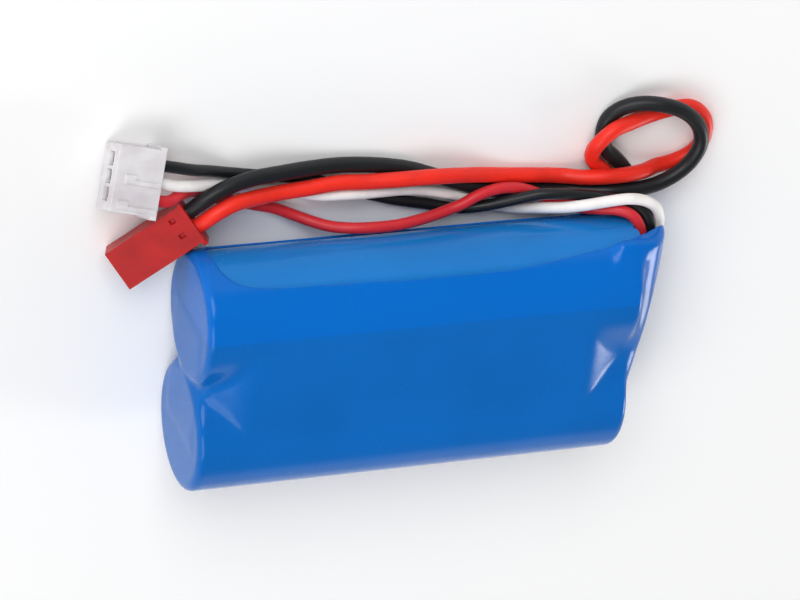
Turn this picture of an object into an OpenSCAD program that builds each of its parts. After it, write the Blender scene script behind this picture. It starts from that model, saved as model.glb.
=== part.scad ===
// Two-cell rechargeable pack in a shrunk film sleeve, with a power lead and a balance lead.
// It lies flat: X along the cells, Y across them, Z up. The origin is the middle of the flat underside.
// Both cells are 18650 cylinders, side by side and head to tail, joined in series at the -X end.

/* [Cells] */
// Outer diameter of one wrapped cell
cell_d = 18.4; // [18.2:0.05:18.4]
// Length of one cell
cell_l = 65; // [64.6:0.1:65]
// Wall of the steel can
can_wall = 0.25; // [0.2:0.05:0.3]
// Diameter of the button on the positive cap
button_d = 8.4; // [7:0.1:9]

/* [Sleeve] */
// Thickness of the shrunk film
film_t = 0.3; // [0.2:0.05:0.3]
// Radius of the film's edge round each end
end_round = 1.1; // [0.9:0.05:1.2]
// How far the film is drawn into the groove at each end
end_dip = 4.3; // [2:0.1:4.4]
// Reach of the lead pocket past the film's end
pocket_reach = 6.4; // [6.2:0.1:7.5]

/* [Nickel] */
// Thickness of the nickel strips
strip_t = 0.15; // [0.1:0.01:0.16]
// Height of the series strip
strip_h = 8; // [7.2:0.1:10]

/* [Power plug] */
// Length of the two-pin housing
power_l = 13.2; // [12.6:0.1:14]
// Width of the two-pin housing
power_w = 6.2; // [5.8:0.1:6.6]
// Thickness of the two-pin housing
power_h = 4.4; // [4.2:0.1:4.8]

/* [Balance plug] */
// Length of the three-pin housing
balance_l = 7.4; // [7.2:0.1:8.4]
// Width of the three-pin housing
balance_w = 9.8; // [9.4:0.1:10]
// Thickness of the three-pin housing
balance_h = 5.75; // [5.5:0.05:6]

/* [Leads] */
// Outer diameter of the power leads
main_d = 2.3; // [2:0.05:2.3]
// Outer diameter of the balance leads
thin_d = 1.7; // [1.5:0.05:1.7]

/* [Hidden] */
$fn = 64;

blue = [0.11, 0.42, 0.77];
cell_blue = [0.25, 0.5, 0.62];
steel = [0.7, 0.7, 0.72];
nickel = [0.75, 0.73, 0.68];
red = [0.86, 0.15, 0.1];
thin_red = [0.74, 0.16, 0.18];
black = [0.1, 0.1, 0.12];
white = [0.92, 0.9, 0.88];
paper = [0.82, 0.8, 0.7];
board_green = [0.35, 0.5, 0.4];
dark = [0.18, 0.17, 0.17];
tin = [0.78, 0.79, 0.8];

slack = 0.1;                                // air between a cell and the film
spacing = cell_d / 2 + slack;               // half the distance between the cell axes
sleeve_r = cell_d / 2 + slack + film_t;     // outer radius of the film round a cell
axis_z = sleeve_r;                          // height of the cell axes
cell_end = cell_l / 2;
film_end = cell_end + 0.75;                 // outside of the film at each end
flat_end = 25;                              // half length of the flat film between the cells
slope_end = 29.5;                           // where the film starts to dive into the groove
main_r = main_d / 2;
thin_r = thin_d / 2;
board_t = 0.2;
lead_sides = 8;

// ---------- lead routes, from the sleeve's mouth to the plug ----------

main_red_route = [
    [35, 15.5, 3], [35, 18, 2], [34, 20.5, 1.2], [32.2, 22.5, 1.2], [30.3, 24.3, 1.3],
    [29.5, 26.5, 2.4], [30, 28.8, 3.5], [32, 30.5, 3.4], [35, 31, 2.5], [38.5, 31.3, 1.3],
    [42, 32, 1.2], [45, 32, 1.2], [47.3, 30, 1.2], [47.8, 27, 1.2], [46.5, 24.5, 1.2],
    [43.5, 23, 1.2], [40.5, 22.7, 1.6], [38, 22.7, 2.8], [35, 22.8, 3.6], [31.8, 22.8, 3.7],
    [28.6, 22.5, 2.9], [25.5, 22.3, 1.5], [21.5, 22.6, 1.2], [17, 23, 1.2], [12.8, 23.8, 1.8],
    [8, 24.8, 3], [3.2, 25.3, 3.6], [-1.8, 25.2, 3.4], [-6, 25, 2.9], [-10.2, 25.2, 2.9],
    [-14.8, 24.8, 3], [-19.2, 24.5, 3.1], [-23.2, 24.5, 4], [-26.2, 24.5, 5],
    [-29, 23.4, 5.4]
];
main_black_route = [
    [37.5, 15.5, 3], [37.5, 18, 2], [36.7, 20.5, 1.2], [35.5, 22.5, 1.2], [33.9, 24.3, 1.2],
    [32, 26.2, 1.2], [31.2, 28.7, 1.2], [31.8, 31.3, 1.2], [33.8, 33.1, 1.6],
    [36.6, 34, 2.5], [39.9, 33.8, 3.4], [43, 32.5, 3.6], [45.4, 30.1, 3.6], [46.2, 27.2, 3.6],
    [45.2, 24.4, 3.6], [43, 22.2, 3.6], [40, 20.8, 3.7], [36.6, 20.3, 3.8], [33, 20.3, 3.7],
    [29.8, 20.1, 2.7], [26.4, 19.9, 1.4], [21.8, 20, 1.2], [16.4, 20.5, 1.2],
    [11.2, 21.8, 1.2], [6.2, 23.7, 1.2], [1, 25.6, 1.2], [-4.5, 26.7, 1.2], [-9.8, 27.2, 1.3],
    [-14.6, 27.4, 1.9], [-19, 27.5, 2.7], [-23.2, 27.4, 3.3], [-27, 26.8, 4], [-30, 25.5, 4.4]
];
balance_white_route = [
    [38.4, 16.5, 9.2], [38.3, 18.5, 9.4], [37.5, 20.4, 9.5], [35.6, 21.7, 9.5],
    [33, 22.2, 9.4], [30, 21.9, 9.1], [27.2, 21.2, 8.4], [24.5, 20.2, 7], [21.8, 19.2, 5],
    [19.4, 18.2, 2.9], [17, 17.7, 1.3], [14.2, 18.1, 0.9], [11.6, 19.4, 0.9],
    [8.2, 20.5, 0.9], [4.2, 21.5, 0.9], [1, 22, 1.1], [-2, 22.4, 1.7], [-5.8, 22.8, 2.4],
    [-9.4, 22.9, 2.4], [-12.6, 22.8, 1.9], [-16, 23.2, 1], [-19.8, 24, 0.9],
    [-23.5, 24.8, 0.9], [-27, 25.6, 1.4], [-30, 26.5, 2.6], [-33, 27.5, 4.1],
    [-35.6, 28.1, 4.6]
];
balance_black_route = [
    [36.7, 16.2, 10.2], [36.6, 18, 10.1], [35.8, 19.6, 9.4], [34, 20.7, 8.4],
    [31.5, 21.1, 7.3], [29, 21.4, 6.6], [26.2, 21.7, 6.1], [23.2, 21.9, 5.8],
    [20.6, 21.8, 5.3], [18, 21, 4.6], [15.8, 20.2, 3.9], [13.4, 19.4, 3.2],
    [10.8, 18.8, 2.4], [8.2, 18.5, 1.4], [4.6, 19.2, 0.9], [-0.4, 20.4, 0.9],
    [-5.4, 22, 0.9], [-9.8, 23.7, 0.9], [-13.8, 25.1, 0.9], [-18.3, 25.9, 0.9],
    [-22.8, 26.6, 0.9], [-26.3, 27.4, 1.2], [-29.5, 28.5, 2.1], [-32.4, 29.5, 3.1],
    [-35, 30.4, 3.6]
];
balance_red_route = [
    [35, 16, 10.8], [34.8, 18, 10.7], [33.6, 19.7, 10], [31.6, 20.2, 8.9], [29.2, 19.7, 7.4],
    [27, 19.3, 5.9], [24.8, 19.5, 4.5], [22, 20.4, 3.5], [19.4, 21.4, 3.1], [17, 22, 3.1],
    [14.4, 22, 3.2], [11.6, 21.3, 3.4], [9.4, 20.2, 3.5], [7.2, 19.4, 3.5], [4.6, 19.1, 4.2],
    [1.6, 19.1, 5.2], [-1.6, 19.1, 5.9], [-5, 19.1, 6], [-8.2, 19, 5.5], [-11, 18.8, 4.2],
    [-13.4, 19, 2.7], [-15.8, 19.6, 1.5], [-18.8, 20.7, 0.9], [-22.3, 21.7, 0.9],
    [-25.6, 22.6, 0.9], [-28.4, 23.6, 1], [-30.5, 24.8, 1.5], [-32.3, 25.8, 2.6],
    [-34.3, 26.2, 4.1], [-36.3, 26.1, 5.4]
];

// Inside the pack: from the soldered tip to the sleeve's mouth
inner_red_route = [[34.1, 2, 9.2], [34.2, 5, 9.1], [34.2, 9, 8.9], [34.3, 12, 6.8], [34.8, 14.2, 4.4]];
inner_black_route = [[34.1, 8, 5.4], [34.3, 10.5, 4.8], [35.4, 12.6, 3.8], [37, 14.3, 3.2]];
inner_thin_red_route = [[33.8, 2, 11.6], [33.8, 5, 11.5], [33.8, 9, 11], [34.2, 13, 10.6]];
inner_thin_black_route = [[33.8, 9.5, 13], [34, 11.5, 13.1], [34.8, 13.6, 12.2], [36, 15.2, 11]];
inner_white_route = [
    [-27.3, 0, 13.7], [-18, 0, 13.7], [-9, 0, 13.7], [0, 0, 13.7], [9, 0, 13.7],
    [18, 0, 13.7], [27, 0, 13.7], [31.5, 0, 13.7], [33.6, 0.8, 13.9], [35.1, 3.5, 14],
    [36.1, 8, 13.2], [37, 12, 11.4], [38, 15, 9.7]
];

// ---------- sweeping a round lead along its route ----------

function unit(v) = v / norm(v);
function lead_way(p, i) = unit(p[min(i + 1, len(p) - 1)] - p[max(i - 1, 0)]);
function lead_side(way) = unit(cross(way, abs(way[2]) > 0.9 ? [1, 0, 0] : [0, 0, 1]));
function lead_ring(p, i, r) =
    let (way = lead_way(p, i), side = lead_side(way), rise = cross(side, way))
    [for (k = [0 : lead_sides - 1])
        let (a = (k + 0.5) * 360 / lead_sides) p[i] + r * (cos(a) * side + sin(a) * rise)];

module swept_lead(p, r) {
    rings = len(p);
    points = [for (i = [0 : rings - 1]) each lead_ring(p, i, r)];
    walls = [
        for (i = [0 : rings - 2]) for (k = [0 : lead_sides - 1])
        let (a = i * lead_sides + k, b = i * lead_sides + (k + 1) % lead_sides)
        each [[a, b, b + lead_sides], [a, b + lead_sides, a + lead_sides]]
    ];
    first = [for (k = [lead_sides - 1 : -1 : 0]) k];
    last = [for (k = [0 : lead_sides - 1]) (rings - 1) * lead_sides + k];
    polyhedron(points = points, faces = concat(walls, [first, last]));
}

// ---------- the film sleeve ----------

function round_end(x, r, f, way) = [
    for (k = [0 : 4]) let (a = k * 22.5)
    way > 0 ? [r - f + f * cos(a), x - f + f * sin(a)] : [r - f + f * sin(a), x + f - f * cos(a)]
];

module lobe(r, x_end, f) {
    rotate([0, 90, 0]) rotate_extrude() polygon(concat(
        [[0, -x_end]], round_end(-x_end, r, f, -1), round_end(x_end, r, f, 1), [[0, x_end]]
    ));
}

// The film between the cells: flat in the middle, drawn into the groove at the ends
module film_web(inset, x_end) {
    up = sleeve_r - inset;
    dip = sleeve_r - end_dip - inset;
    mid = sleeve_r - end_dip * 0.28 - inset;
    rotate([90, 0, 0]) translate([0, 0, -spacing]) linear_extrude(2 * spacing) polygon([
        [-x_end, -dip], [-slope_end, -mid], [-flat_end, -up], [flat_end, -up], [slope_end, -mid],
        [x_end, -dip], [x_end, dip], [slope_end, mid], [flat_end, up], [-flat_end, up],
        [-slope_end, mid], [-x_end, dip]
    ]);
}

// The bulge over the leads at the +X end, beside cell b
module lead_pocket(inset) {
    reach = film_end + pocket_reach - inset;
    bulge_r = 11;
    intersection() {
        translate([0, 0, 1.2 + inset]) linear_extrude(14.6 - 2 * inset) polygon([
            [30, -7 + inset], [33.1 - inset, -7 + inset], [34.8 - inset, -3.5],
            [36.9 - inset, 3.5], [reach, 16.4], [reach, 18.3 - inset], [30, 18.3 - inset]
        ]);
        translate([reach - bulge_r, 30, 7]) rotate([90, 0, 0]) cylinder(h = 60, r = bulge_r);
    }
}

module film_body(inset) {
    for (side = [-1, 1]) translate([0, side * spacing, axis_z])
        lobe(sleeve_r - inset, film_end - inset, end_round - inset);
    translate([0, 0, axis_z]) film_web(inset, film_end - inset);
    lead_pocket(inset);
}

module outer_sleeve() color(blue) difference() {
    film_body(0);
    film_body(film_t);
    // the mouth that the leads come out of
    translate([33.3, 15.2, -1]) cube([8, 5, 13]);
}

// ---------- one cell, standing on its negative end ----------

wrap_t = 0.1;
can_r = cell_d / 2 - wrap_t;
crimp_top = cell_l - 0.6;
bead_z = cell_l - 4.5;
bead_r = 0.9;
gasket_r = can_r - can_wall;

module place_cell(which) {
    translate([which == "a" ? -cell_end : cell_end, which == "a" ? -spacing : spacing, axis_z])
        rotate([0, which == "a" ? 90 : -90, 0]) children();
}

module cell_wrap(which) color(cell_blue) place_cell(which) difference() {
    cylinder(h = crimp_top + 0.25, r = cell_d / 2);
    translate([0, 0, wrap_t]) cylinder(h = crimp_top + 0.05, r = can_r);
    translate([0, 0, -1]) cylinder(h = cell_l, r = 7.9);
    translate([0, 0, cell_l - 2]) cylinder(h = 3, r = 8.1);
}

module cell_can(which) color(steel) place_cell(which) difference() {
    translate([0, 0, wrap_t]) cylinder(h = crimp_top - wrap_t, r = can_r);
    translate([0, 0, wrap_t + can_wall]) cylinder(h = crimp_top - 0.7 - wrap_t - can_wall,
        r = can_r - can_wall);
    translate([0, 0, cell_l - 3]) cylinder(h = 4, r = 7);
    // the rolled bead below the crimp
    translate([0, 0, bead_z]) rotate_extrude() translate([can_r + 0.75, 0]) circle(bead_r);
}

module cell_disc(which, z, h, hole) color(dark) place_cell(which) translate([0, 0, z])
    difference() {
        cylinder(h = h, r = can_r - can_wall - 0.25);
        if (hole > 0) translate([0, 0, -1]) cylinder(h = h + 2, r = hole);
    }

module cell_jelly_roll(which) color(dark) place_cell(which) translate([0, 0, 0.75])
    difference() {
        cylinder(h = bead_z - bead_r - 1.6, r = can_r - can_wall - 0.2);
        translate([0, 0, -1]) cylinder(h = cell_l, r = 1);
    }

module cell_gasket(which) color(dark) place_cell(which) difference() {
    translate([0, 0, bead_z + bead_r + 0.1]) cylinder(h = cell_l - 1.35 - bead_z - bead_r - 0.1,
        r = gasket_r - 0.02);
    translate([0, 0, bead_z + bead_r + 0.4]) cylinder(h = 3, r = 7.9);
    translate([0, 0, bead_z - 1]) cylinder(h = 6, r = 6);
}

module cell_vent_disc(which) color(steel) place_cell(which)
    translate([0, 0, bead_z + bead_r + 0.45]) difference() {
        cylinder(h = 0.5, r = 7.85);
        // scored ring that opens under pressure
        translate([0, 0, 0.35]) difference() {
            cylinder(h = 1, r = 4.4);
            translate([0, 0, -1]) cylinder(h = 3, r = 4);
        }
    }

module cell_cap(which) color(nickel) place_cell(which) difference() {
    union() {
        translate([0, 0, bead_z + bead_r + 1]) cylinder(h = 0.5, r = 7.85);
        translate([0, 0, bead_z + bead_r + 1.2])
            cylinder(h = cell_l - bead_z - bead_r - 1.2, r = button_d / 2);
    }
    translate([0, 0, bead_z + bead_r + 0.5]) cylinder(h = cell_l - bead_z - bead_r - 0.9,
        r = button_d / 2 - 0.4);
    // gas holes round the button
    for (a = [45 : 90 : 315]) rotate([0, 0, a])
        translate([button_d / 2 - 1, -0.6, cell_l - 1.5]) cube([2, 1.2, 0.7]);
}

module cell_washer(which) color(paper) place_cell(which) translate([0, 0, crimp_top + 0.02])
    difference() {
        cylinder(h = 0.2, r = 8.05);
        translate([0, 0, -1]) cylinder(h = 2, r = button_d / 2 + 0.25);
    }

// ---------- nickel, boards, glue and solder ----------

weld_r = 0.6;
tongue_z = 12.6;                            // where the series strip's tongue lies in the groove

module weld_dots(x, y, h) for (dy = [-1.6, 1.6], dz = [-1.6, 1.6])
    translate([x, y + dy, axis_z + dz]) rotate([0, 90, 0]) cylinder(h = h, r = weld_r);

module series_strip() color(nickel) {
    translate([-cell_end - strip_t, -12, axis_z - strip_h / 2]) cube([strip_t, 24, strip_h]);
    weld_dots(-cell_end - strip_t, -spacing, strip_t + wrap_t);
    // narrow tongue folded back into the groove, for the balance lead
    translate([-cell_end - strip_t, -0.6, tongue_z]) cube([6, 1.2, strip_t]);
}

module positive_tab() color(nickel)
    translate([cell_end, -13, axis_z - 4]) cube([strip_t, 12.6, 8]);

module negative_tab() color(nickel) {
    translate([cell_end, 5, 4.4]) cube([strip_t, 8.6, 10.4]);
    weld_dots(cell_end - wrap_t, spacing, strip_t + wrap_t);
}

main_pads = [[-1.8, 9.2], [6, 5.6]];        // y and z of the power leads' joints: positive, negative
thin_pads = [[-1.8, 11.8], [7.6, 12.9]];    // and of the balance leads' joints

module board_outline(waist) {
    for (side = [-1, 1]) translate([side * spacing, 0]) circle(r = 8.4);
    square([2 * spacing, waist], center = true);
}

module left_end_board() color(board_green) translate([-cell_end - strip_t - 0.02 - board_t, 0, axis_z])
    rotate([90, 0, 90]) linear_extrude(board_t) board_outline(5);

module right_end_board() color(board_green) difference() {
    translate([cell_end + strip_t + 0.02, 0, axis_z])
        rotate([90, 0, 90]) linear_extrude(board_t) board_outline(9);
    for (pad = concat(main_pads, thin_pads)) translate([cell_end, pad[0], pad[1]])
        rotate([0, 90, 0]) cylinder(h = 2, r = 1.15);
}

module glue_beads() color(paper) for (x = [-22, -4, 14]) translate([x, 0, axis_z - 3.95])
    rotate([0, 90, 0]) cylinder(h = 9, r = 0.85);

// a joint: a round of tin on the nickel, with the lead's bare end lying in it
module joint(pad, tip, r) {
    translate([cell_end + strip_t, pad[0], pad[1]]) rotate([0, 90, 0]) cylinder(h = 1.25, r = 1);
    translate([cell_end + strip_t + 0.9, pad[0], pad[1]]) rotate([-90, 0, 0])
        cylinder(h = tip, r = r);
}

module solder_series() color(tin) translate([-31, 0, tongue_z + strip_t + 0.45])
    rotate([0, 90, 0]) cylinder(h = 3.7, r = 0.45);

module solder_positive() color(tin) {
    joint(main_pads[0], 3.8, 0.55);
    joint(thin_pads[0], 3.8, 0.4);
}

module solder_negative() color(tin) {
    joint(main_pads[1], 2, 0.55);
    joint(thin_pads[1], 1.9, 0.4);
}

// ---------- the leads ----------

function power_end(side) = power_point([power_l / 2, side * 1.25, 0]);
function balance_end(way) = balance_point([balance_l / 2, way * 2.5, 0]);

module inner_main_red() color(red) swept_lead(concat(inner_red_route, [main_red_route[0]]), main_r);
module inner_main_black() color(black)
    swept_lead(concat(inner_black_route, [main_black_route[0]]), main_r);
module inner_balance_red() color(thin_red)
    swept_lead(concat(inner_thin_red_route, [balance_red_route[0]]), thin_r);
module inner_balance_black() color(black)
    swept_lead(concat(inner_thin_black_route, [balance_black_route[0]]), thin_r);
module inner_balance_white() color(white)
    swept_lead(concat(inner_white_route, [balance_white_route[0]]), thin_r);

module main_red_lead() color(red) swept_lead(concat(main_red_route, [power_end(-1)]), main_r);
module main_black_lead() color(black)
    swept_lead(concat(main_black_route, [power_end(1)]), main_r);
module balance_red_lead() color(thin_red)
    swept_lead(concat(balance_red_route, [balance_end(-1)]), thin_r);
module balance_white_lead() color(white)
    swept_lead(concat(balance_white_route, [balance_end(0)]), thin_r);
module balance_black_lead() color(black)
    swept_lead(concat(balance_black_route, [balance_end(1)]), thin_r);

// ---------- the plugs: local +X is the wire end, +Z the broad face ----------

power_at = [-37.1, 18.5, 3.95];
power_turn = [-24, -6, 38];
balance_at = [-41.61, 29.7, 4.6];
balance_turn = [-24, 0, -14.5];

function turned(v, t) =
    let (a = [v[0], v[1] * cos(t[0]) - v[2] * sin(t[0]), v[1] * sin(t[0]) + v[2] * cos(t[0])],
         b = [a[0] * cos(t[1]) + a[2] * sin(t[1]), a[1], a[2] * cos(t[1]) - a[0] * sin(t[1])])
    [b[0] * cos(t[2]) - b[1] * sin(t[2]), b[0] * sin(t[2]) + b[1] * cos(t[2]), b[2]];
function power_point(v) = power_at + turned(v, power_turn);
function balance_point(v) = balance_at + turned(v, balance_turn);

module place_power() translate(power_at) rotate(power_turn) children();
module place_balance() translate(balance_at) rotate(balance_turn) children();

module block(x0, x1, w, h, y = 0, z = 0)
    translate([x0, y - w / 2, z - h / 2]) cube([x1 - x0, w, h]);

contact_w = 1.7;

module power_plug_housing() color(red) place_power() difference() {
    union() {
        block(-power_l / 2, power_l / 2 - 0.5, power_w, power_h);
        // rim and hooked corner at the wire end
        block(power_l / 2 - 0.9, power_l / 2 - 0.3, power_w + 0.5, power_h);
        block(power_l / 2 - 0.9, power_l / 2 - 0.2, 0.8, power_h - 0.8, y = -power_w / 2 - 0.3);
    }
    // mating mouth
    block(-power_l / 2 - 1, -power_l / 2 + 5, power_w - 1.2, power_h - 1.2);
    // one passage for each contact
    for (side = [-1, 1])
        block(-power_l / 2 + 4, power_l / 2 + 1, contact_w + 0.3, contact_w + 0.3, y = side * 1.25);
    // latch windows
    for (side = [-1, 1]) block(3.6, 4.5, 0.7, 0.8, y = side * 1.25 + 0.5, z = power_h / 2 - 0.1);
}

module power_contact(side) color(nickel) place_power() translate([0, side * 1.25, 0]) {
    difference() {
        block(-power_l / 2 + 2.4, 1.6, contact_w, contact_w);
        block(-power_l / 2 + 1.4, 1, contact_w - 0.5, contact_w - 0.5);
    }
    translate([1.4, 0, 0]) rotate([0, 90, 0]) cylinder(h = 4.6, r = 0.8);
}

module balance_plug_housing() color(white) place_balance() difference() {
    union() {
        block(-balance_l / 2, balance_l / 2 - 0.4, balance_w - 0.4, balance_h - 0.5);
        // flange at the wire end
        block(balance_l / 2 - 1.2, balance_l / 2 - 0.3, balance_w + 0.5, balance_h - 0.5);
        // two guide rails on the broad face, with a step at the front of each
        for (rail = [[-0.3, -2.2], [-4, -2.8]]) {
            block(rail[1], balance_l / 2 - 0.5, 0.6, 0.5, y = rail[0], z = balance_h / 2 - 0.3);
            block(rail[1], rail[1] + 1.6, 1.1, 0.5, y = rail[0] + 0.4, z = balance_h / 2 - 0.25);
        }
    }
    for (way = [-1, 0, 1]) {
        block(-balance_l / 2 - 1, balance_l / 2 + 1, contact_w + 0.3, contact_w + 0.3, y = way * 2.5);
        // lance window under each contact
        block(-1.4, 0.8, 1.2, 1.2, y = way * 2.5, z = -balance_h / 2 + 0.5);
    }
}

module balance_contact(way) color(nickel) place_balance() translate([0, way * 2.5, 0]) {
    difference() {
        block(-balance_l / 2 + 0.6, 0.8, contact_w, contact_w);
        block(-balance_l / 2 - 1, 0.4, contact_w - 0.5, contact_w - 0.5);
    }
    translate([0.6, 0, 0]) rotate([0, 90, 0]) cylinder(h = 3, r = 0.75);
}

outer_sleeve();
cell_wrap("a");  // cell_a_wrap
cell_can("a");  // cell_a_can
cell_disc("a", 0.4, 0.25, 0);  // cell_a_bottom_disc
cell_jelly_roll("a");  // cell_a_jelly_roll
cell_disc("a", bead_z - bead_r - 0.6, 0.25, 2);  // cell_a_top_disc
cell_gasket("a");  // cell_a_gasket
cell_vent_disc("a");  // cell_a_vent_disc
cell_cap("a");  // cell_a_cap
cell_washer("a");  // cell_a_washer
cell_wrap("b");  // cell_b_wrap
cell_can("b");  // cell_b_can
cell_disc("b", 0.4, 0.25, 0);  // cell_b_bottom_disc
cell_jelly_roll("b");  // cell_b_jelly_roll
cell_disc("b", bead_z - bead_r - 0.6, 0.25, 2);  // cell_b_top_disc
cell_gasket("b");  // cell_b_gasket
cell_vent_disc("b");  // cell_b_vent_disc
cell_cap("b");  // cell_b_cap
cell_washer("b");  // cell_b_washer
series_strip();
positive_tab();
negative_tab();
left_end_board();
right_end_board();
glue_beads();
solder_series();
solder_positive();
solder_negative();
inner_main_red();
inner_main_black();
inner_balance_red();
inner_balance_black();
inner_balance_white();
main_red_lead();
main_black_lead();
balance_red_lead();
balance_white_lead();
balance_black_lead();
power_plug_housing();
power_contact(-1);  // power_contact_red
power_contact(1);  // power_contact_black
balance_plug_housing();
balance_contact(-1);  // balance_contact_red
balance_contact(0);  // balance_contact_white
balance_contact(1);  // balance_contact_black
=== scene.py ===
"""A two-cell pack in glossy blue shrink film, with its power and balance leads, on a pale floor."""

import math

import bpy
import numpy as np
from mathutils import Euler, Matrix, Vector


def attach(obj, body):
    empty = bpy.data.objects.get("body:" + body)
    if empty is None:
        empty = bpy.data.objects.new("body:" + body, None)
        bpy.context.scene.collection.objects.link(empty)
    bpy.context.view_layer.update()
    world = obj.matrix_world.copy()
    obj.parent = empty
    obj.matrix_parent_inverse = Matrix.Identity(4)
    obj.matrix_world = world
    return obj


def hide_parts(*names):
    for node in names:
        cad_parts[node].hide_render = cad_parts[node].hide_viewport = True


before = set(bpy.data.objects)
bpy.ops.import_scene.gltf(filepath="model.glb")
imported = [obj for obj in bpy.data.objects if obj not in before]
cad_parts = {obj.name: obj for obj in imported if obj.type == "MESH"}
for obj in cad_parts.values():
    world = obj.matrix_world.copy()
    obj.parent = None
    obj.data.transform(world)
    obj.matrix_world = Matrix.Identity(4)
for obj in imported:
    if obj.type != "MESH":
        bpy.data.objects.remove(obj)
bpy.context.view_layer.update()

MM = 0.001
scene = bpy.context.scene

# ---------- camera ----------

CAMERA_PLACE = (-0.19599, 0.30668, 0.46157)
CAMERA_RIGHT = (0.93654, 0.10471, 0.33455)
CAMERA_UP = (0.09105, 0.84893, -0.52060)
CAMERA_BACK = (-0.33852, 0.51802, 0.78553)
CAMERA_LENS = 179.03
SENSOR_WIDTH = 36


def set_camera():
    camera = bpy.data.objects.new("studio_camera", bpy.data.cameras.new("studio_camera"))
    scene.collection.objects.link(camera)
    turn = Matrix((CAMERA_RIGHT, CAMERA_UP, CAMERA_BACK)).transposed()
    camera.matrix_world = Matrix.Translation(CAMERA_PLACE) @ turn.to_4x4()
    camera.data.lens = CAMERA_LENS
    camera.data.sensor_width = SENSOR_WIDTH
    camera.data.clip_start, camera.data.clip_end = 0.01, 20
    scene.camera = camera


set_camera()

# ---------- finishes ----------


class Shade:
    """A value or colour that varies over a surface. Sums on it add Math nodes."""

    def __init__(self, nodes, socket):
        self.nodes, self.socket = nodes, socket

    def sum(self, operation, *values):
        settings = {"operation": operation}
        return self.nodes.add("Math", settings, dict(enumerate(values)))

    def __add__(self, other):
        return self.sum("ADD", self, other)

    def __mul__(self, other):
        return self.sum("MULTIPLY", self, other)

    __radd__, __rmul__ = __add__, __mul__

    def step(self, low, high):
        """0 below low, 1 above high, and smooth between them."""
        settings = {"interpolation_type": "SMOOTHSTEP"}
        return self.nodes.add(
            "MapRange", settings, {"Value": self, "From Min": low, "From Max": high}
        )


class Nodes:
    """The nodes of one material, or of the world."""

    def __init__(self, owner):
        owner.use_nodes = True
        self.tree = owner.node_tree
        self.tree.nodes.clear()

    def join(self, socket, value):
        if isinstance(value, Shade):
            self.tree.links.new(value.socket, socket)
        elif socket.type == "RGBA" and len(value) == 3:
            socket.default_value = (*value, 1)
        else:
            socket.default_value = value

    def add(self, kind, settings, inputs, out=0):
        """Adds a node of that kind: its settings first, then its sockets' values or links."""
        node = self.tree.nodes.new("ShaderNode" + kind)
        for key, value in settings.items():
            setattr(node, key, value)
        for key, value in inputs.items():
            self.join(node.inputs[key], value)
        return Shade(self, node.outputs[out]) if node.outputs else None


class Finish(Nodes):
    """One material, with its Principled shader and the nodes that drive it."""

    def __init__(self, name, **surface):
        self.material = bpy.data.materials.new(name)
        super().__init__(self.material)
        shader = self.add("BsdfPrincipled", {}, {})
        self.sockets = shader.socket.node.inputs
        self.add("OutputMaterial", {}, {"Surface": shader})
        self.place = self.add("TexCoord", {}, {}, "Object")
        self.set(**surface)

    def set(self, **surface):
        """Sets the shader's sockets: base_color=..., roughness=... and so on."""
        for key, value in surface.items():
            label = key.replace("_", " ").title().replace("Ior", "IOR")
            self.join(self.sockets[label], value)

    def axis(self, which):
        return self.add("SeparateXYZ", {}, {0: self.place}, which)

    def stretched(self, x, y, z):
        settings = {"operation": "MULTIPLY"}
        return self.add("VectorMath", settings, {0: self.place, 1: (x, y, z)})

    def noise(self, scale, detail=3, roughness=0.5, where=None):
        inputs = {
            "Vector": where or self.place, "Scale": scale,
            "Detail": detail, "Roughness": roughness,
        }
        return self.add("TexNoise", {}, inputs)

    def mix(self, mask, first, second):
        """The first colour where mask is 0, and the second where it is 1."""
        return self.add("Mix", {"data_type": "RGBA"}, {0: mask, 6: first, 7: second}, 2)

    def bump(self, height, strength, depth):
        inputs = {"Height": height, "Strength": strength, "Distance": depth}
        self.set(normal=self.add("Bump", {}, inputs))


def shade_of(tone, share):
    return tuple(channel * share for channel in tone)


FILM_SINGLE = (0.003, 0.134, 0.50)
FILM_DOUBLE = (0.001, 0.142, 0.57)
# The under layer's own blue, made lighter: the extra lightness is a painted reflection of the
# overhead light it faces
FILM_UNDER_WITH_PAINTED_REFLECTION = (0.010, 0.200, 0.60)
MAIN_RED = (0.90, 0.028, 0.014)
THIN_RED = (0.66, 0.026, 0.036)
BLACK = (0.011, 0.012, 0.014)
WHITE = (0.95, 0.92, 0.90)
PLUG_RED = (0.50, 0.005, 0.006)
PLUG_WHITE = (0.76, 0.75, 0.77)
PLUG_WHITE_DEEP = (0.60, 0.56, 0.59)
# The outer film lies doubled on cell b's upper side: from this Y, and over these heights
OVERLAP_START, OVERLAP_FULL = 9.75 * MM, 10.25 * MM
OVERLAP_LOW, OVERLAP_TOP = 6 * MM, 9 * MM


def film_finish(name, tone, overlap_tone=None):
    """Shrunk PVC: glossy and a little wavy, with fine dust nibs. Doubled film has its own tone."""
    film = Finish(name, specular_ior_level=0.22, ior=1.42, coat_roughness=0.04)
    cloud = film.noise(60, 2)
    if overlap_tone:
        across, up = film.axis(1), film.axis(2)
        doubled = across.step(OVERLAP_START, OVERLAP_FULL) * up.step(OVERLAP_LOW, OVERLAP_TOP)
        tone = film.mix(doubled, tone, overlap_tone)
        deep = film.mix(doubled, shade_of(FILM_SINGLE, 0.82), shade_of(FILM_DOUBLE, 0.88))
    else:
        deep = shade_of(tone, 0.8)
    streaks = film.noise(1, 4, 0.6, film.stretched(70, 420, 420))
    nibs = film.noise(1500, 1).step(0.70, 0.76)
    depth = cloud.step(0.3, 0.75) * 0.5 + streaks.step(0.5, 0.8) * 0.12
    film.set(
        base_color=film.mix(depth, tone, deep),
        roughness=0.12 + 0.08 * streaks + 0.15 * nibs,
        coat_weight=0.05 * cloud,
    )
    waves = film.noise(1, 2, 0.5, film.stretched(45, 130, 130))
    film.bump(waves + 0.06 * streaks + 0.05 * nibs, 0.35, 0.15 * MM)
    return film.material


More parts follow.
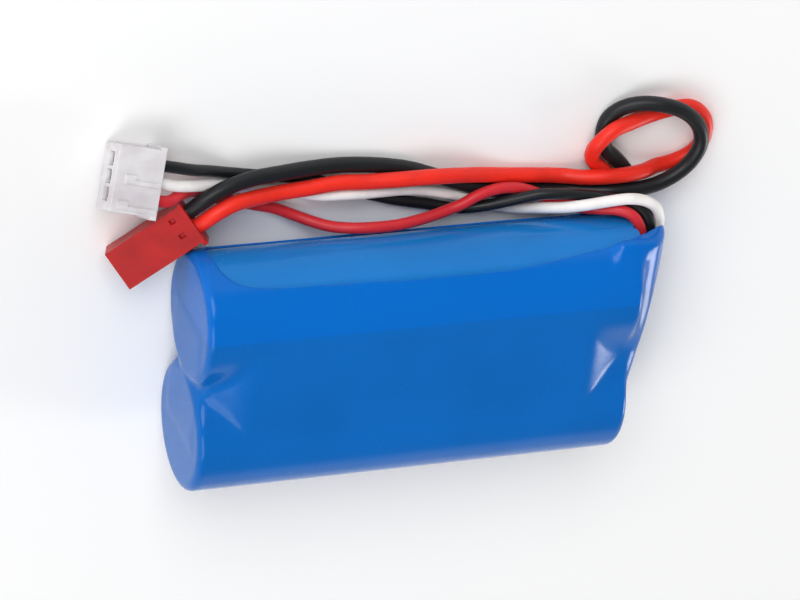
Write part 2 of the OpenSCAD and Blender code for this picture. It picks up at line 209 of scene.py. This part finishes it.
def lead_finish(name, tone, roughness, powder):
    """Soft lead covering: a matt skin with a powdery bloom and tiny handling marks."""
    skin = Finish(name, specular_ior_level=0.3, sheen_weight=powder, sheen_roughness=0.45)
    bloom = skin.noise(260, 4, 0.6)
    marks = skin.noise(1900, 2)
    skin.set(
        base_color=skin.mix(bloom.step(0.35, 0.8) * 0.55, tone, shade_of(tone, 0.72)),
        roughness=roughness + 0.16 * bloom,
    )
    skin.bump(bloom + 0.25 * marks, 0.3, 0.06 * MM)
    return skin.material


def moulded_finish(name, tone, roughness, depth_tone, glow):
    """Moulded nylon: slight flow clouds, fine mould grain and rubbed gloss."""
    nylon = Finish(
        name, specular_ior_level=0.28, subsurface_weight=glow,
        subsurface_scale=1.2 * MM, subsurface_radius=(1, 0.8, 0.8),
    )
    flow = nylon.noise(1, 3, 0.55, nylon.stretched(160, 260, 260))
    grain = nylon.noise(2600, 2)
    nylon.set(
        base_color=nylon.mix(flow.step(0.3, 0.75), tone, depth_tone),
        roughness=roughness + 0.14 * flow + 0.05 * grain,
    )
    nylon.bump(flow + 0.2 * grain, 0.25, 0.08 * MM)
    return nylon.material


def metal_finish(name, tone, roughness, along, across):
    """Rolled or plated metal, with brushing that runs along one way."""
    sheet = Finish(name, metallic=1.0)
    brushing = sheet.noise(1, 4, 0.65, sheet.stretched(along, across, across))
    stain = sheet.noise(240, 3)
    sheet.set(
        base_color=sheet.mix(stain.step(0.45, 0.8), tone, shade_of(tone, 0.7)),
        roughness=roughness + 0.2 * brushing + 0.08 * stain,
    )
    sheet.bump(brushing, 0.2, 0.02 * MM)
    return sheet.material


def paper_finish(name, tone, fibre_scale, roughness):
    """Fibre board, paper or felt: speckled fibres and a dull face."""
    paper = Finish(name, specular_ior_level=0.25)
    fibres = paper.noise(fibre_scale, 5, 0.7)
    blotch = paper.noise(150, 2)
    speckle = fibres.step(0.4, 0.7) * 0.7 + blotch * 0.2
    paper.set(
        base_color=paper.mix(speckle, tone, shade_of(tone, 0.62)),
        roughness=roughness + 0.1 * fibres,
    )
    paper.bump(fibres, 0.5, 0.05 * MM)
    return paper.material


def wound_finish(name, tone, ring_tone):
    """Wound electrode strip, whose turns show as fine rings round the cell's axis."""
    winding = Finish(name, specular_ior_level=0.3)
    settings = {"wave_type": "RINGS", "rings_direction": "X"}
    inputs = {"Vector": winding.place, "Scale": 900, "Distortion": 0.4, "Detail": 1}
    turns = winding.add("TexWave", settings, inputs, 1)
    winding.set(base_color=winding.mix(turns, tone, ring_tone), roughness=0.55 + 0.2 * turns)
    winding.bump(turns, 0.4, 0.05 * MM)
    return winding.material


finishes = {
    "film": film_finish("glossy_film", FILM_SINGLE, FILM_DOUBLE),
    # The under layer's lighter tone is partly its own blue and partly a painted reflection of the
    # overhead light
    "film_under_with_painted_reflection": film_finish("glossy_film_under_with_painted_reflection", FILM_UNDER_WITH_PAINTED_REFLECTION),
    "main_red": lead_finish("silicone_red", MAIN_RED, 0.32, 0.03),
    "main_black": lead_finish("silicone_black", BLACK, 0.30, 0.01),
    "thin_red": lead_finish("thin_lead_red", THIN_RED, 0.27, 0.03),
    "thin_black": lead_finish("thin_lead_black", BLACK, 0.26, 0.01),
    "thin_white": lead_finish("thin_lead_white", WHITE, 0.34, 0.05),
    "plug_red": moulded_finish("nylon_red", PLUG_RED, 0.3, shade_of(PLUG_RED, 0.72), 0.0),
    "plug_white": moulded_finish("nylon_white", PLUG_WHITE, 0.28, PLUG_WHITE_DEEP, 0.3),
    "contact": metal_finish("tin_plate", (0.78, 0.76, 0.72), 0.2, 300, 1500),
    "nickel": metal_finish("nickel_strip", (0.66, 0.62, 0.55), 0.24, 1800, 300),
    "can": metal_finish("can_steel", (0.62, 0.62, 0.64), 0.28, 120, 1600),
    "cap": metal_finish("cap_steel", (0.68, 0.66, 0.62), 0.22, 900, 900),
    "solder": metal_finish("solder_tin", (0.74, 0.75, 0.77), 0.16, 700, 700),
    "wrap": film_finish("cell_wrap_film", (0.05, 0.22, 0.33)),
    "insulator": paper_finish("insulator_disc", (0.045, 0.042, 0.042), 1200, 0.6),
    "washer": paper_finish("washer_paper", (0.62, 0.58, 0.44), 900, 0.75),
    "board": paper_finish("end_board", (0.12, 0.24, 0.15), 1500, 0.5),
    "glue": moulded_finish("hot_glue", (0.72, 0.70, 0.58), 0.3, (0.62, 0.58, 0.42), 0.4),
    "winding": wound_finish("wound_strip", (0.03, 0.028, 0.03), (0.16, 0.11, 0.07)),
}

CELL_FINISHES = {
    "wrap": "wrap", "can": "can", "bottom_disc": "insulator", "top_disc": "insulator",
    "jelly_roll": "winding", "gasket": "insulator", "vent_disc": "can", "cap": "cap",
    "washer": "washer",
}
PACK_FINISHES = {
    "series_strip": "nickel", "positive_tab": "nickel", "negative_tab": "nickel",
    "left_end_board": "board", "right_end_board": "board", "glue_beads": "glue",
    "solder_series": "solder", "solder_positive": "solder", "solder_negative": "solder",
    "power_contact_red": "contact", "power_contact_black": "contact",
    "balance_contact_red": "contact", "balance_contact_white": "contact",
    "balance_contact_black": "contact",
    "power_plug_housing": "plug_red", "balance_plug_housing": "plug_white",
}


def refinish(node, finish):
    """Gives a CAD node that stays in sight a better finish."""
    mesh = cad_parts[node].data
    mesh.materials.clear()
    mesh.materials.append(finishes[finish])


for cell in "ab":
    for part, finish in CELL_FINISHES.items():
        refinish(f"cell_{cell}_{part}", finish)
for node, finish in PACK_FINISHES.items():
    refinish(node, finish)


def soften_edges(node, radius):
    """Rounds the moulded corners of a CAD node that stays."""
    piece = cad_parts[node]
    weld = piece.modifiers.new("weld", "WELD")
    weld.merge_threshold = 0.002 * MM
    bevel = piece.modifiers.new("moulded_edges", "BEVEL")
    bevel.width, bevel.segments, bevel.limit_method = radius, 3, "ANGLE"
    bevel.angle_limit = math.radians(40)


soften_edges("power_plug_housing", 0.16 * MM)
soften_edges("balance_plug_housing", 0.14 * MM)

# ---------- leads ----------

# Each plug's middle, its turns about X, Y and Z, its housing's length and the pitch of its wires
# from its middle, all in millimetres and degrees, and the thickness of its leads
PLUGS = {
    "power": ((-37.1, 18.5, 3.95), (-24, -6, 38), 13.2, 1.25, 2.3 * MM),
    "balance": ((-41.61, 29.7, 4.6), (-24, 0, -14.5), 7.4, 2.5, 1.7 * MM),
}
LEAD_STEP = 0.45
INTO_PLUG = 0.45
SPAN_POINTS = 12

main_red_route = [
    [35, 15.5, 3], [35, 18, 2], [34, 20.5, 1.2], [32.2, 22.5, 1.2], [30.3, 24.3, 1.3],
    [29.5, 26.5, 2.4], [30, 28.8, 3.5], [32, 30.5, 3.4], [35, 31, 2.5], [38.5, 31.3, 1.3],
    [42, 32, 1.2], [45, 32, 1.2], [47.3, 30, 1.2], [47.8, 27, 1.2], [46.5, 24.5, 1.2],
    [43.5, 23, 1.2], [40.5, 22.7, 1.6], [38, 22.7, 2.8], [35, 22.8, 3.6], [31.8, 22.8, 3.7],
    [28.6, 22.5, 2.9], [25.5, 22.3, 1.5], [21.5, 22.6, 1.2], [17, 23, 1.2], [12.8, 23.8, 1.8],
    [8, 24.8, 3], [3.2, 25.3, 3.6], [-1.8, 25.2, 3.4], [-6, 25, 2.9], [-10.2, 25.2, 2.9],
    [-14.8, 24.8, 3], [-19.2, 24.5, 3.1], [-23.2, 24.5, 4], [-26.2, 24.5, 5],
    [-29, 23.4, 5.4],
]
main_black_route = [
    [37.5, 15.5, 3], [37.5, 18, 2], [36.7, 20.5, 1.2], [35.5, 22.5, 1.2], [33.9, 24.3, 1.2],
    [32, 26.2, 1.2], [31.2, 28.7, 1.2], [31.8, 31.3, 1.2], [33.8, 33.1, 1.6],
    [36.6, 34, 2.5], [39.9, 33.8, 3.4], [43, 32.5, 3.6], [45.4, 30.1, 3.6], [46.2, 27.2, 3.6],
    [45.2, 24.4, 3.6], [43, 22.2, 3.6], [40, 20.8, 3.7], [36.6, 20.3, 3.8], [33, 20.3, 3.7],
    [29.8, 20.1, 2.7], [26.4, 19.9, 1.4], [21.8, 20, 1.2], [16.4, 20.5, 1.2],
    [11.2, 21.8, 1.2], [6.2, 23.7, 1.2], [1, 25.6, 1.2], [-4.5, 26.7, 1.2], [-9.8, 27.2, 1.3],
    [-14.6, 27.4, 1.9], [-19, 27.5, 2.7], [-23.2, 27.4, 3.3], [-27, 26.8, 4], [-30, 25.5, 4.4],
]
balance_white_route = [
    [38.4, 16.5, 9.2], [38.3, 18.5, 9.4], [37.5, 20.4, 9.5], [35.6, 21.7, 9.5],
    [33, 22.2, 9.4], [30, 21.9, 9.1], [27.2, 21.2, 8.4], [24.5, 20.2, 7], [21.8, 19.2, 5],
    [19.4, 18.2, 2.9], [17, 17.7, 1.3], [14.2, 18.1, 0.9], [11.6, 19.4, 0.9],
    [8.2, 20.5, 0.9], [4.2, 21.5, 0.9], [1, 22, 1.1], [-2, 22.4, 1.7], [-5.8, 22.8, 2.4],
    [-9.4, 22.9, 2.4], [-12.6, 22.8, 1.9], [-16, 23.2, 1], [-19.8, 24, 0.9],
    [-23.5, 24.8, 0.9], [-27, 25.6, 1.4], [-30, 26.5, 2.6], [-33, 27.5, 4.1],
    [-35.6, 28.1, 4.6],
]
balance_black_route = [
    [36.7, 16.2, 10.2], [36.6, 18, 10.1], [35.8, 19.6, 9.4], [34, 20.7, 8.4],
    [31.5, 21.1, 7.3], [29, 21.4, 6.6], [26.2, 21.7, 6.1], [23.2, 21.9, 5.8],
    [20.6, 21.8, 5.3], [18, 21, 4.6], [15.8, 20.2, 3.9], [13.4, 19.4, 3.2],
    [10.8, 18.8, 2.4], [8.2, 18.5, 1.4], [4.6, 19.2, 0.9], [-0.4, 20.4, 0.9],
    [-5.4, 22, 0.9], [-9.8, 23.7, 0.9], [-13.8, 25.1, 0.9], [-18.3, 25.9, 0.9],
    [-22.8, 26.6, 0.9], [-26.3, 27.4, 1.2], [-29.5, 28.5, 2.1], [-32.4, 29.5, 3.1],
    [-35, 30.4, 3.6],
]
balance_red_route = [
    [35, 16, 10.8], [34.8, 18, 10.7], [33.6, 19.7, 10], [31.6, 20.2, 8.9], [29.2, 19.7, 7.4],
    [27, 19.3, 5.9], [24.8, 19.5, 4.5], [22, 20.4, 3.5], [19.4, 21.4, 3.1], [17, 22, 3.1],
    [14.4, 22, 3.2], [11.6, 21.3, 3.4], [9.4, 20.2, 3.5], [7.2, 19.4, 3.5], [4.6, 19.1, 4.2],
    [1.6, 19.1, 5.2], [-1.6, 19.1, 5.9], [-5, 19.1, 6], [-8.2, 19, 5.5], [-11, 18.8, 4.2],
    [-13.4, 19, 2.7], [-15.8, 19.6, 1.5], [-18.8, 20.7, 0.9], [-22.3, 21.7, 0.9],
    [-25.6, 22.6, 0.9], [-28.4, 23.6, 1], [-30.5, 24.8, 1.5], [-32.3, 25.8, 2.6],
    [-34.3, 26.2, 4.1], [-36.3, 26.1, 5.4],
]

# Inside the pack: from the soldered tip to the sleeve's mouth
inner_red_route = [
    [34.1, 2, 9.2], [34.2, 5, 9.1], [34.2, 9, 8.9], [34.3, 12, 6.8], [34.8, 14.2, 4.4],
]
inner_black_route = [[34.1, 8, 5.4], [34.3, 10.5, 4.8], [35.4, 12.6, 3.8], [37, 14.3, 3.2]]
inner_thin_red_route = [[33.8, 2, 11.6], [33.8, 5, 11.5], [33.8, 9, 11], [34.2, 13, 10.6]]
inner_thin_black_route = [[33.8, 9.5, 13], [34, 11.5, 13.1], [34.8, 13.6, 12.2], [36, 15.2, 11]]
inner_white_route = [
    [-27.3, 0, 13.7], [-18, 0, 13.7], [-9, 0, 13.7], [0, 0, 13.7], [9, 0, 13.7],
    [18, 0, 13.7], [27, 0, 13.7], [31.5, 0, 13.7], [33.6, 0.8, 13.9], [35.1, 3.5, 14],
    [36.1, 8, 13.2], [37, 12, 11.4], [38, 15, 9.7],
]


def plug_point(at, turn, point):
    """A point of a plug, in the pack's frame. The plug's own +X is its wire end."""
    angles = Euler([math.radians(angle) for angle in turn])
    return Vector(at) + angles.to_matrix() @ Vector(point)


def smooth_line(points, step):
    """An even line through the points, rounded between them. Millimetres."""
    points = np.array(points, float)
    ends = 2 * points[[0, -1]] - points[[1, -2]]
    points = np.vstack([ends[:1], points, ends[1:]])
    gaps = np.linalg.norm(np.diff(points, axis=0), axis=1)
    knots = np.concatenate([[0], np.cumsum(np.sqrt(gaps))])
    line = []
    for i in range(1, len(points) - 2):
        span = knots[i + 1] - knots[i]
        leave = (points[i + 1] - points[i - 1]) / (knots[i + 1] - knots[i - 1]) * span
        reach = (points[i + 2] - points[i]) / (knots[i + 2] - knots[i]) * span
        for t in np.linspace(0, 1, SPAN_POINTS, endpoint=False):
            line.append(
                (2 * t**3 - 3 * t**2 + 1) * points[i] + (t**3 - 2 * t**2 + t) * leave
                + (3 * t**2 - 2 * t**3) * points[i + 1] + (t**3 - t**2) * reach
            )
    line = np.array([*line, points[-2]])
    run = np.concatenate([[0], np.cumsum(np.linalg.norm(np.diff(line, axis=0), axis=1))])
    even = np.linspace(0, run[-1], max(2, round(run[-1] / step) + 1))
    return np.stack([np.interp(even, run, line[:, axis]) for axis in range(3)], 1)


def make_lead(name, line, diameter, finish, node):
    """A round lead as one open curve along the line. It stands for the CAD node."""
    data = bpy.data.curves.new(name, "CURVE")
    data.dimensions = "3D"
    data.bevel_depth, data.bevel_resolution = diameter / 2, 6
    data.use_fill_caps = True
    spline = data.splines.new("POLY")
    spline.points.add(len(line) - 1)
    for point, place in zip(spline.points, line):
        point.co = (*(place * MM), 1)
    spline.use_smooth = True
    data.materials.append(finishes[finish])
    piece = bpy.data.objects.new(name, data)
    scene.collection.objects.link(piece)
    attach(piece, "root")
    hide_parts(node)
    return piece


def add_lead(name, plug, place, colour, inner, route, finish):
    """One lead to its place in a plug: a held piece inside the pack and a free one outside."""
    at, turn, plug_length, pitch, diameter = PLUGS[plug]
    end = np.array(plug_point(at, turn, (plug_length / 2, place * pitch, 0)))
    way_in = np.array(plug_point((0, 0, 0), turn, (1, 0, 0)))
    line = smooth_line([*inner, *route, end, end - way_in * INTO_PLUG], LEAD_STEP)
    split = int(np.argmin(np.linalg.norm(line - np.array(route[0]), axis=1)))
    kind = {"power": "main", "balance": "balance"}[plug]
    inner_node, node = f"inner_{kind}_{colour}", f"{kind}_{colour}_lead"
    make_lead(name + "_inside", line[: split + 1], diameter, finish, inner_node)
    piece = make_lead(name, line[split:], diameter, finish, node)


add_lead(
    "power_lead_red", "power", -1, "red", inner_red_route, main_red_route,
    "main_red",
)
add_lead(
    "power_lead_black", "power", 1, "black", inner_black_route, main_black_route,
    "main_black",
)
add_lead(
    "balance_wire_red", "balance", -1, "red", inner_thin_red_route, balance_red_route,
    "thin_red",
)
add_lead(
    "balance_wire_white", "balance", 0, "white", inner_white_route, balance_white_route,
    "thin_white",
)
add_lead(
    "balance_wire_black", "balance", 1, "black", inner_thin_black_route, balance_black_route,
    "thin_black",
)

# ---------- shrunk film ----------

# Millimetres, for the film's outer face
CELL_R = 9.6        # round a cell
SPACING = 9.3       # half the distance between the cell axes
AXIS_Z = 9.6
FILM_END = 33.25
END_ROUND = 1.1
SHELL_T = 0.28
UNDER_GAP = 0.36    # how far the under layer lies inside the outer one
UNDER_T = 0.2
FILM_STEP = 0.4     # size of the film's mesh
WEB_SINK = 0.12     # how far the film between the cells lies below their tops
WEB_PULL = 4.0      # how much further it is drawn in at the ends
WEB_ROUND = 1.6
SLACK = 0.03
BOX_LOW, BOX_HIGH = (-34.5, -20, -1), (41, 20, 20.5)
UNDER_BOX_LOW, UNDER_BOX_HIGH = (-34.5, 8, -1), (36.5, 20, 20.5)
UNDER_LOW_Y, UNDER_LOW_X = 10.2, -32

# The pocket over the leads: its inner and outer Y, where it starts along X, its rounded +X end,
# its middle height and half its height, and its slanted wall from above
POCKET_INNER_Y, POCKET_OUTER_Y = -7, 18.3
POCKET_START_X = 30
POCKET_FRONT_X, POCKET_FRONT_Z, POCKET_FRONT_R = 28.65, 7, 11
POCKET_Z, POCKET_HALF = 8.5, 7.3
POCKET_PLAN = [(33.1, -7), (34.8, -3.5), (36.9, 3.5), (39.65, 16.4), (39.65, 18.3)]

# The free edge of the outer layer, as degrees above cell b's middle for each X along the pack
FREE_EDGE = [
    (-34, 36), (-26.5, 38), (-21.5, 40.5), (-13.4, 41.5), (-4.4, 43.4), (3.2, 44.1), (10.7, 44.2),
    (13.2, 43.6), (17.2, 41.1), (22, 36.9), (26.6, 32.8), (30, 30.4), (32.3, 27.9), (34.7, 20.7),
    (36.7, 13.7), (38, 9.5), (40, 3),
]


def soft_least(a, b, blend):
    """The lesser of a and b, rounded over where they meet."""
    near = np.maximum(blend - np.abs(a - b), 0) / blend
    return np.minimum(a, b) - near * near * blend / 4


def soft_most(a, b, blend):
    return -soft_least(-a, -b, blend)


def ramp(value, low, high):
    """0 below low, 1 above high, and smooth between them."""
    t = np.clip((value - low) / (high - low), 0, 1)
    return t * t * (3 - 2 * t)


def wrapped_cells(place):
    """Signed distance to the film round both cells, drawn into the groove at the ends."""
    x, y, z = np.moveaxis(place, -1, 0)
    out = np.abs(x)
    lobes = []
    for side in (-1, 1):
        around = np.hypot(y - side * SPACING, z - AXIS_Z) - (CELL_R - END_ROUND)
        along = out - (FILM_END - END_ROUND)
        lobes.append(
            np.minimum(np.maximum(around, along), 0)
            + np.hypot(np.maximum(around, 0), np.maximum(along, 0)) - END_ROUND
        )
    half = CELL_R - WEB_SINK - WEB_PULL * ramp(out, 25, 34.5)
    web = soft_most(np.abs(z - AXIS_Z) - half, np.abs(y) - SPACING, 0.6)
    web = soft_most(web, out - (FILM_END - 0.8), WEB_ROUND)
    return soft_least(soft_least(*lobes, 0.9), web, 0.3 + 1.2 * ramp(out, 24, 31))


def lead_pocket(place):
    """The bulge over the leads where they leave the pack."""
    x, y, z = np.moveaxis(place, -1, 0)
    shape = soft_most(y - POCKET_OUTER_Y, POCKET_INNER_Y - y, 0.5)
    for (x0, y0), (x1, y1) in zip(POCKET_PLAN, POCKET_PLAN[1:]):
        run = math.hypot(x1 - x0, y1 - y0)
        past_wall = (x - x0) * (y1 - y0) / run - (y - y0) * (x1 - x0) / run
        shape = soft_most(shape, past_wall, 1.2)
    shape = soft_most(shape, POCKET_START_X - x, 0.5)
    front = np.hypot(x - POCKET_FRONT_X, z - POCKET_FRONT_Z) - POCKET_FRONT_R
    shape = soft_most(shape, front, 1.5)
    return soft_most(shape, np.abs(z - POCKET_Z) - POCKET_HALF, 1.2)


def outer_film(place):
    """Signed distance to the whole outer layer, with a little slack in it."""
    x, y, z = np.moveaxis(place, -1, 0)
    slack = SLACK * np.sin(0.31 * x + 0.8) * np.sin(0.45 * y + 1.3) * np.sin(0.5 * z)
    return soft_least(wrapped_cells(place), lead_pocket(place), 2.5) + slack


def under_film(place):
    """Signed distance to the layer under the opening, which reaches out over the leads a little."""
    x, y = place[..., :1], place[..., 1:2]
    overhang = np.array([1.5, 0, 0]) * ramp(x, 18, 33) * ramp(y, 14, 17)
    return wrapped_cells(place - overhang) + UNDER_GAP


def slot_depth(place):
    """How far inside the outer layer's opening a point is. The leads leave at its +X end."""
    x, y, z = np.moveaxis(place, -1, 0)
    angle = np.degrees(np.arctan2(z - AXIS_Z, y - SPACING))
    edge = np.interp(x, *np.transpose(FREE_EDGE))
    below_edge = np.radians(edge - angle) * CELL_R
    above_back = np.radians(angle + 38 + 6 * ramp(x, 15, 33)) * CELL_R
    behind_tip = y - (17.3 + 0.35 * np.clip(10 - z, 0, 2.5)) + 25 * ramp(34.5 - x, 0, 4)
    depth = soft_least(below_edge, x + 30.7, 6)
    depth = soft_least(depth, above_back, 4)
    return soft_least(depth, behind_tip, 0.6)


def slope(field, place, reach=0.04):
    shifts = np.eye(3) * reach
    return np.stack([field(place + s) - field(place - s) for s in shifts], -1) / (2 * reach)


def settle(field, points, rounds=4):
    """Moves the points onto the field's surface."""
    for _ in range(rounds):
        way = slope(field, points)
        steepness = np.maximum((way**2).sum(1), 0.2)
        points = points - (field(points) / steepness)[:, None] * way
    return points


def skin(field, low, high, step):
    """A net of four-sided faces over the field's surface."""
    axes = [np.arange(a, b + step, step) for a, b in zip(low, high)]
    inside = field(np.stack(np.meshgrid(*axes, indexing="ij"), -1)) < 0
    corners = sum(
        inside[i : i - 1 or None, j : j - 1 or None, k : k - 1 or None].astype(int)
        for i in (0, 1) for j in (0, 1) for k in (0, 1)
    )
    cells = np.argwhere((corners > 0) & (corners < 8))
    number = np.full(corners.shape, -1)
    number[tuple(cells.T)] = np.arange(len(cells))
    points = np.stack([axes[a][cells[:, a]] + step / 2 for a in range(3)], 1)
    faces = []
    for axis in range(3):
        u, v = (axis + 1) % 3, (axis + 2) % 3
        first = [slice(None)] * 3
        first[axis] = slice(0, -1)
        second = list(first)
        second[axis] = slice(1, None)
        change = np.argwhere(inside[tuple(first)] != inside[tuple(second)])
        ring = []
        for du, dv in ((1, 1), (0, 1), (0, 0), (1, 0)):
            corner = change.copy()
            corner[:, u] -= du
            corner[:, v] -= dv
            ring.append(number[tuple(corner.T)])
        ring = np.stack(ring, 1)
        outward = inside[tuple(first)][tuple(change.T)]
        faces.append(np.where(outward[:, None], ring, ring[:, ::-1]))
    faces = np.vstack(faces)
    links = np.vstack([faces[:, [i, (i + 1) % 4]] for i in range(4)])
    points = settle(field, points)
    for _ in range(3):      # evens the net out along the surface
        total = np.zeros_like(points)
        count = np.zeros(len(points))
        np.add.at(total, links[:, 0], points[links[:, 1]])
        np.add.at(total, links[:, 1], points[links[:, 0]])
        np.add.at(count, links.ravel(), 1)
        points = settle(field, points * 0.4 + 0.6 * total / count[:, None], 2)
    return points, faces


def cut_away(points, faces, depth):
    """Keeps the faces where depth is below 0, with a clean edge along depth 0."""
    points, kept, made = [*points], [], {}
    for face in faces.tolist():
        outline = []
        for a, b in zip(face, face[1:] + face[:1]):
            if depth[a] < 0:
                outline.append(a)
            if (depth[a] < 0) != (depth[b] < 0):
                key = (min(a, b), max(a, b))
                if key not in made:
                    share = depth[a] / (depth[a] - depth[b])
                    made[key] = len(points)
                    points.append(points[a] + (points[b] - points[a]) * share)
                outline.append(made[key])
        if len(outline) > 2:
            kept.append(outline)
    used = sorted({i for face in kept for i in face})
    number = {old: new for new, old in enumerate(used)}
    return np.array([points[i] for i in used]), [[number[i] for i in face] for face in kept]


def make_shell(name, field, points, faces, thickness, finish):
    """A film of that thickness, closed along its cut edges."""
    way = slope(field, points)
    way /= np.linalg.norm(way, axis=1)[:, None]
    count = len(points)
    sides = {(a, b): True for face in faces for a, b in zip(face, face[1:] + face[:1])}
    rim = [[b, a, a + count, b + count] for a, b in sides if (b, a) not in sides]
    inner = [[i + count for i in reversed(face)] for face in faces]
    mesh = bpy.data.meshes.new(name)
    both_faces = np.vstack([points, points - way * thickness]) * MM
    mesh.from_pydata(both_faces.tolist(), [], [*faces, *inner, *rim])
    smooth = [True] * (len(faces) + len(inner)) + [False] * len(rim)
    mesh.polygons.foreach_set("use_smooth", smooth)
    mesh.materials.append(finishes[finish])
    piece = bpy.data.objects.new(name, mesh)
    scene.collection.objects.link(piece)
    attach(piece, "root")
    return piece


points, faces = skin(outer_film, BOX_LOW, BOX_HIGH, FILM_STEP)
points, faces = cut_away(points, faces, slot_depth(points))
sleeve = make_shell("film_sleeve", outer_film, points, faces, SHELL_T, "film")
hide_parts("outer_sleeve")

points, faces = skin(under_film, UNDER_BOX_LOW, UNDER_BOX_HIGH, FILM_STEP)
past_edge = soft_most(UNDER_LOW_Y - points[:, 1], UNDER_LOW_X - points[:, 0], 1)
points, faces = cut_away(points, faces, past_edge)
make_shell("film_under_layer", under_film, points, faces, UNDER_T, "film_under_with_painted_reflection")

# ---------- studio ----------


FLOOR_HALF = 2.5
FLOOR_DROP = 0.02 * MM      # keeps the floor just below the pieces that lie on it
FLOOR_LIT, FLOOR_SEEN = (0.72, 0.72, 0.72), (0.97, 0.97, 0.97)
WALL_TOP, CEILING_START = 0.22, 0.5     # heights of the looking direction
WALL_LIGHT, CEILING_LIGHT = 1.0, 0.22


def make_floor():
    """Pale floor. It lights the pack with a duller tone than the one that is seen."""
    floor = Finish("studio_floor", specular_ior_level=0.1)
    rays = ("Is Camera Ray", "Is Glossy Ray", "Is Transmission Ray")
    camera, glossy, transmitted = [floor.add("LightPath", {}, {}, ray) for ray in rays]
    seen = camera + glossy + transmitted
    floor.set(base_color=floor.mix(seen, FLOOR_LIT, FLOOR_SEEN), roughness=0.9)
    corners = [(-1, -1), (1, -1), (1, 1), (-1, 1)]
    mesh = bpy.data.meshes.new("studio_floor")
    mesh.from_pydata([(x * FLOOR_HALF, y * FLOOR_HALF, 0) for x, y in corners], [], [(0, 1, 2, 3)])
    mesh.materials.append(floor.material)
    piece = bpy.data.objects.new("studio_floor", mesh)
    piece.location.z = -FLOOR_DROP
    scene.collection.objects.link(piece)


def add_lamp(name, place, aim, width, depth, power):
    lamp = bpy.data.lights.new(name, "AREA")
    lamp.shape, lamp.size, lamp.size_y, lamp.energy = "RECTANGLE", width, depth, power
    piece = bpy.data.objects.new(name, lamp)
    piece.location = place
    piece.rotation_euler = (Vector(aim) - Vector(place)).to_track_quat("-Z", "Y").to_euler()
    scene.collection.objects.link(piece)


def make_world():
    """Pale walls all round, and a dimmer ceiling, which is what the glossy film mirrors."""
    scene.world = bpy.data.worlds.new("studio_world")
    nodes = Nodes(scene.world)
    direction = nodes.add("TexCoord", {}, {}, "Generated")
    inputs = {
        "Value": nodes.add("SeparateXYZ", {}, {0: direction}, "Z"),
        "From Min": WALL_TOP, "From Max": CEILING_START,
        "To Min": WALL_LIGHT, "To Max": CEILING_LIGHT,
    }
    strength = nodes.add("MapRange", {"interpolation_type": "SMOOTHSTEP"}, inputs)
    light = nodes.add("Background", {}, {"Color": (1, 1, 1), "Strength": strength})
    nodes.add("OutputWorld", {}, {"Surface": light})


make_floor()
add_lamp("back_softbox", (-0.3, 0.62, 0.6), (0, 0, 0), 0.6, 0.45, 4.3)
add_lamp("top_softbox", (-0.55, -0.2, 0.75), (0, 0, 0), 0.6, 0.6, 3.9)
add_lamp("right_softbox", (0.7, -0.3, 0.2), (0.03, 0.01, 0.01), 0.2, 0.28, 1.9)
make_world()
scene.view_settings.view_transform = "Standard"
